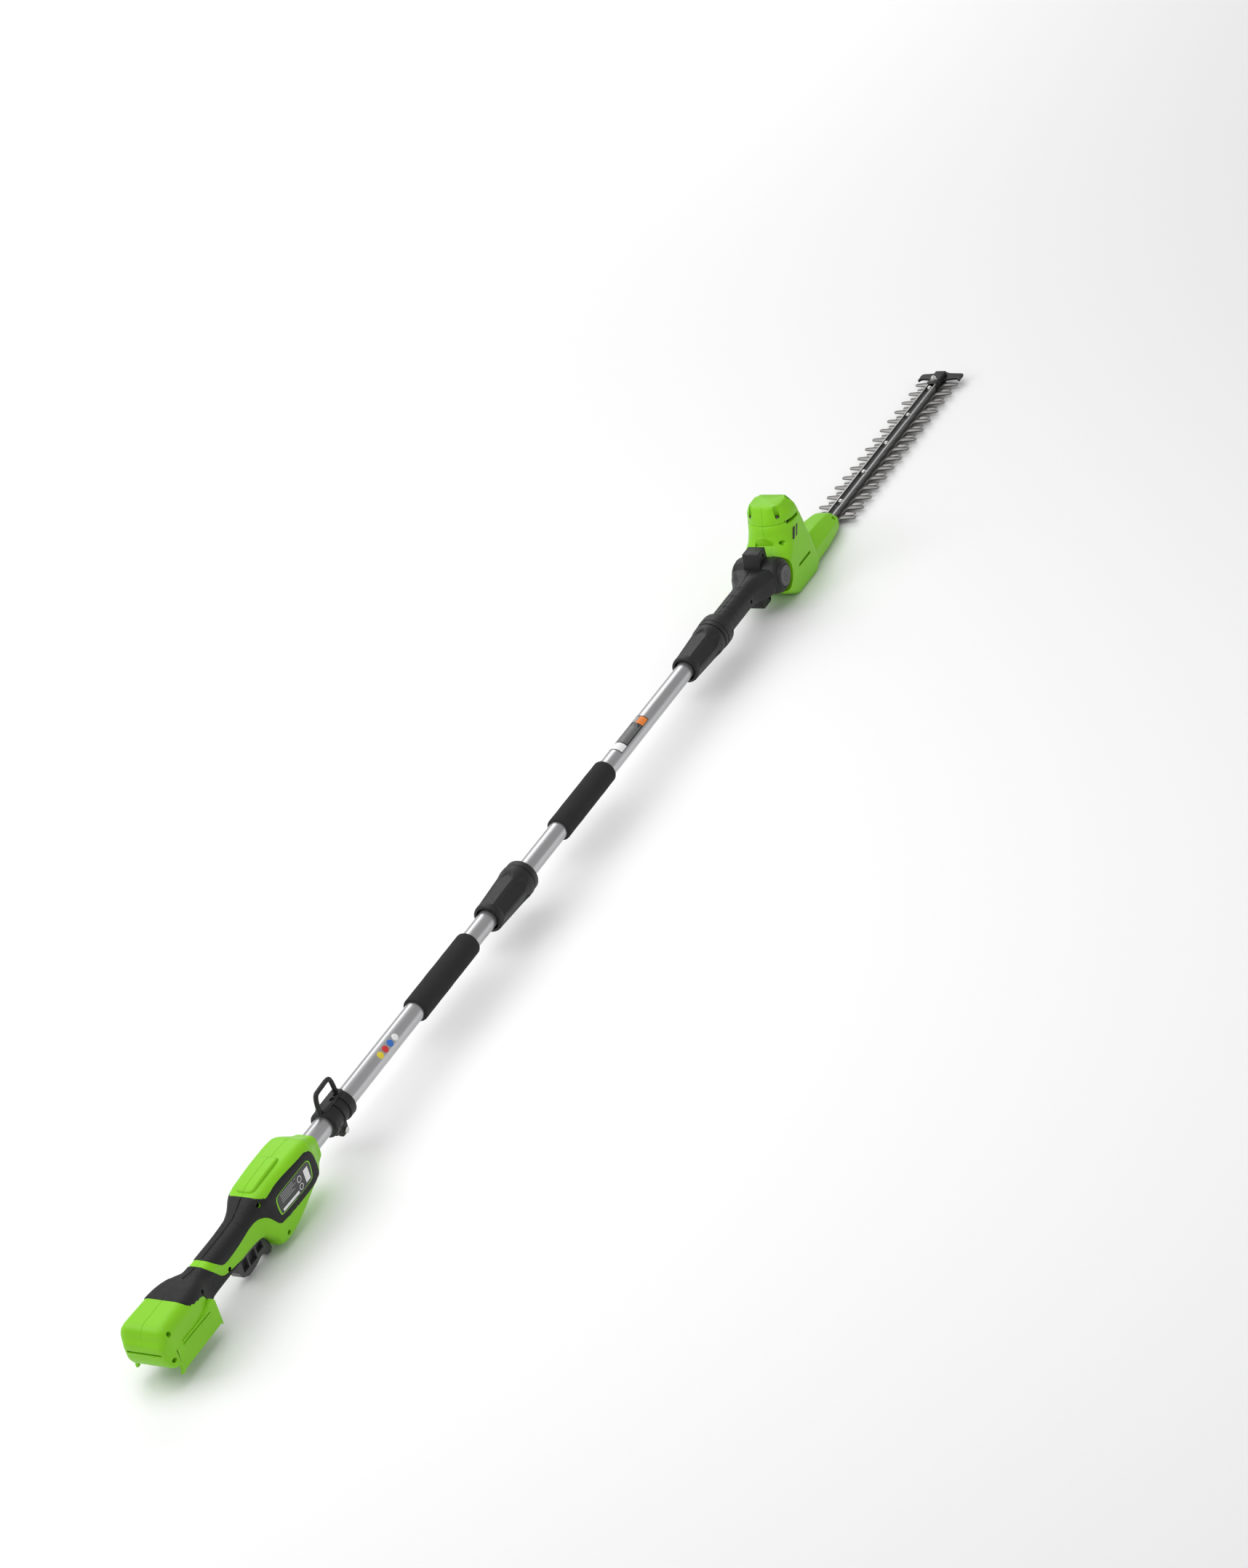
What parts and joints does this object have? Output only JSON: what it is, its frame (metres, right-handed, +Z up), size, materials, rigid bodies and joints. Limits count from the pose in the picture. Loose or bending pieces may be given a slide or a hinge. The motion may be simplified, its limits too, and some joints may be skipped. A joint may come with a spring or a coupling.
{
  "type": "pole hedge trimmer",
  "caption": "Battery pole hedge trimmer: trigger handle, two-part aluminium pole with foam grips and screw couplers, tilting motor head and a double-sided reciprocating comb blade.",
  "frame": {"origin": "centre of the footprint, on the surface the tool lies on", "axes": "+X from the battery handle to the blade tip, +Y to the user's left, +Z up; the pole's axis is level at z 59 mm"},
  "size_m": [2.62, 0.09, 0.15],
  "materials": {
    "green_plastic": "satin moulded green",
    "black_plastic": "fine matt texture",
    "grey_plastic": "satin dark grey",
    "soft_grip": "soft overmould",
    "foam": "closed-cell foam",
    "pole_aluminium": "drawn and satin anodised",
    "blade_steel": "ground steel",
    "dark_steel": "blackened steel",
    "bright_steel": "zinc plated",
    "label": "printed film",
    "copper": "contact metal"
  },
  "bodies": {
    "handle": {"rear_shell_left": "green_plastic", "rear_shell_right": "green_plastic", "grip_overmould_left": "soft_grip", "grip_overmould_right": "soft_grip", "data_plate": "label", "control_board": "grey_plastic", "battery_contacts": "black_plastic", "trigger_switch": "black_plastic", "handle_screws": "bright_steel", "trigger_pin": "bright_steel", "trigger_spring": "bright_steel", "lower_tube": "pole_aluminium", "foam_grip_lower": "foam", "ferrule_lower": "black_plastic", "plug_lower": "black_plastic", "lead_lower": "soft_grip"},
    "trigger_lever": {"trigger": "grey_plastic"},
    "lock_off": {"lock_off_button": "grey_plastic"},
    "clamp": {"strap_clamp": "black_plastic", "clamp_bolt": "bright_steel"},
    "lower_nut": {"coupler_nut_lower": "black_plastic"},
    "middle_pole": {"middle_tube": "pole_aluminium", "coupling_socket": "black_plastic", "foam_grip_upper": "foam", "ferrule_upper": "black_plastic", "plug_middle": "black_plastic", "lead_middle": "soft_grip"},
    "upper_nut": {"coupler_nut_upper": "black_plastic"},
    "neck": {"neck_spigot": "black_plastic", "neck_shell_left": "black_plastic", "neck_shell_right": "black_plastic", "neck_screws": "bright_steel", "pivot_bolt": "bright_steel", "pivot_cap": "grey_plastic", "button_spring": "bright_steel"},
    "button": {"release_button": "grey_plastic"},
    "head": {"head_shell_left": "green_plastic", "head_shell_right": "green_plastic", "motor_cap": "green_plastic", "head_screws": "bright_steel", "tilt_hub": "black_plastic", "detent_disc": "dark_steel", "motor_can": "dark_steel", "gear_axle": "bright_steel", "gearcase_plate": "dark_steel", "guard_comb": "blade_steel", "support_bar": "dark_steel", "blade_bolts": "bright_steel", "blade_washers": "dark_steel", "tip_guard": "black_plastic", "tip_screw": "bright_steel"},
    "rotor": {"motor_shaft": "bright_steel", "pinion": "bright_steel", "cooling_fan": "black_plastic"},
    "crank_gear": {"drive_gear": "dark_steel"},
    "cutter": {"moving_blade": "dark_steel", "connecting_rod": "dark_steel"}
  },
  "joints": [
    {"name": "trigger_pivot", "type": "hinge", "parent": "handle", "child": "trigger_lever", "pos_m": [-1.055, 0, 0.026], "axis": [0, 1, 0], "range_deg": [0, 7], "stiffness_Nm_per_rad": 3, "springref_deg": -5.73},
    {"name": "lock_off_press", "type": "slide", "parent": "handle", "child": "lock_off", "axis": [0, -1, 0], "range_m": [0, 0.003], "stiffness_N_per_m": 600, "springref_m": -0.003},
    {"name": "strap_clamp_slide", "type": "slide", "parent": "handle", "child": "clamp", "axis": [1, 0, 0], "range_m": [-0.02, 0.15]},
    {"name": "lower_nut_turn", "type": "hinge", "parent": "handle", "child": "lower_nut", "pos_m": [-0.378, 0, 0.059], "axis": [1, 0, 0], "continuous": true},
    {"name": "middle_pole_pull", "type": "slide", "parent": "handle", "child": "middle_pole", "axis": [1, 0, 0], "range_m": [0, 0.1]},
    {"name": "upper_nut_turn", "type": "hinge", "parent": "middle_pole", "child": "upper_nut", "pos_m": [0.276, 0, 0.059], "axis": [1, 0, 0], "continuous": true},
    {"name": "neck_pull", "type": "slide", "parent": "middle_pole", "child": "neck", "axis": [1, 0, 0], "range_m": [0, 0.1]},
    {"name": "release_press", "type": "slide", "parent": "neck", "child": "button", "axis": [0, 1, 0], "range_m": [0, 0.004], "stiffness_N_per_m": 800, "springref_m": -0.003},
    {"name": "head_tilt", "type": "hinge", "parent": "neck", "child": "head", "pos_m": [0.518, 0, 0.059], "axis": [0, 1, 0], "range_deg": [-20, 40]},
    {"name": "rotor_spin", "type": "hinge", "parent": "head", "child": "rotor", "pos_m": [0.589, 0, 0.059], "axis": [0, 0, 1], "continuous": true},
    {"name": "crank_spin", "type": "hinge", "parent": "head", "child": "crank_gear", "pos_m": [0.619, 0, 0.029], "axis": [0, 0, 1], "continuous": true},
    {"name": "blade_stroke", "type": "slide", "parent": "head", "child": "cutter", "axis": [1, 0, 0], "range_m": [-0.0085, 0.0085]}
  ],
  "couplings": [
    {"joint": "crank_spin", "follows": "rotor_spin", "ratio": -0.2}
  ]
}
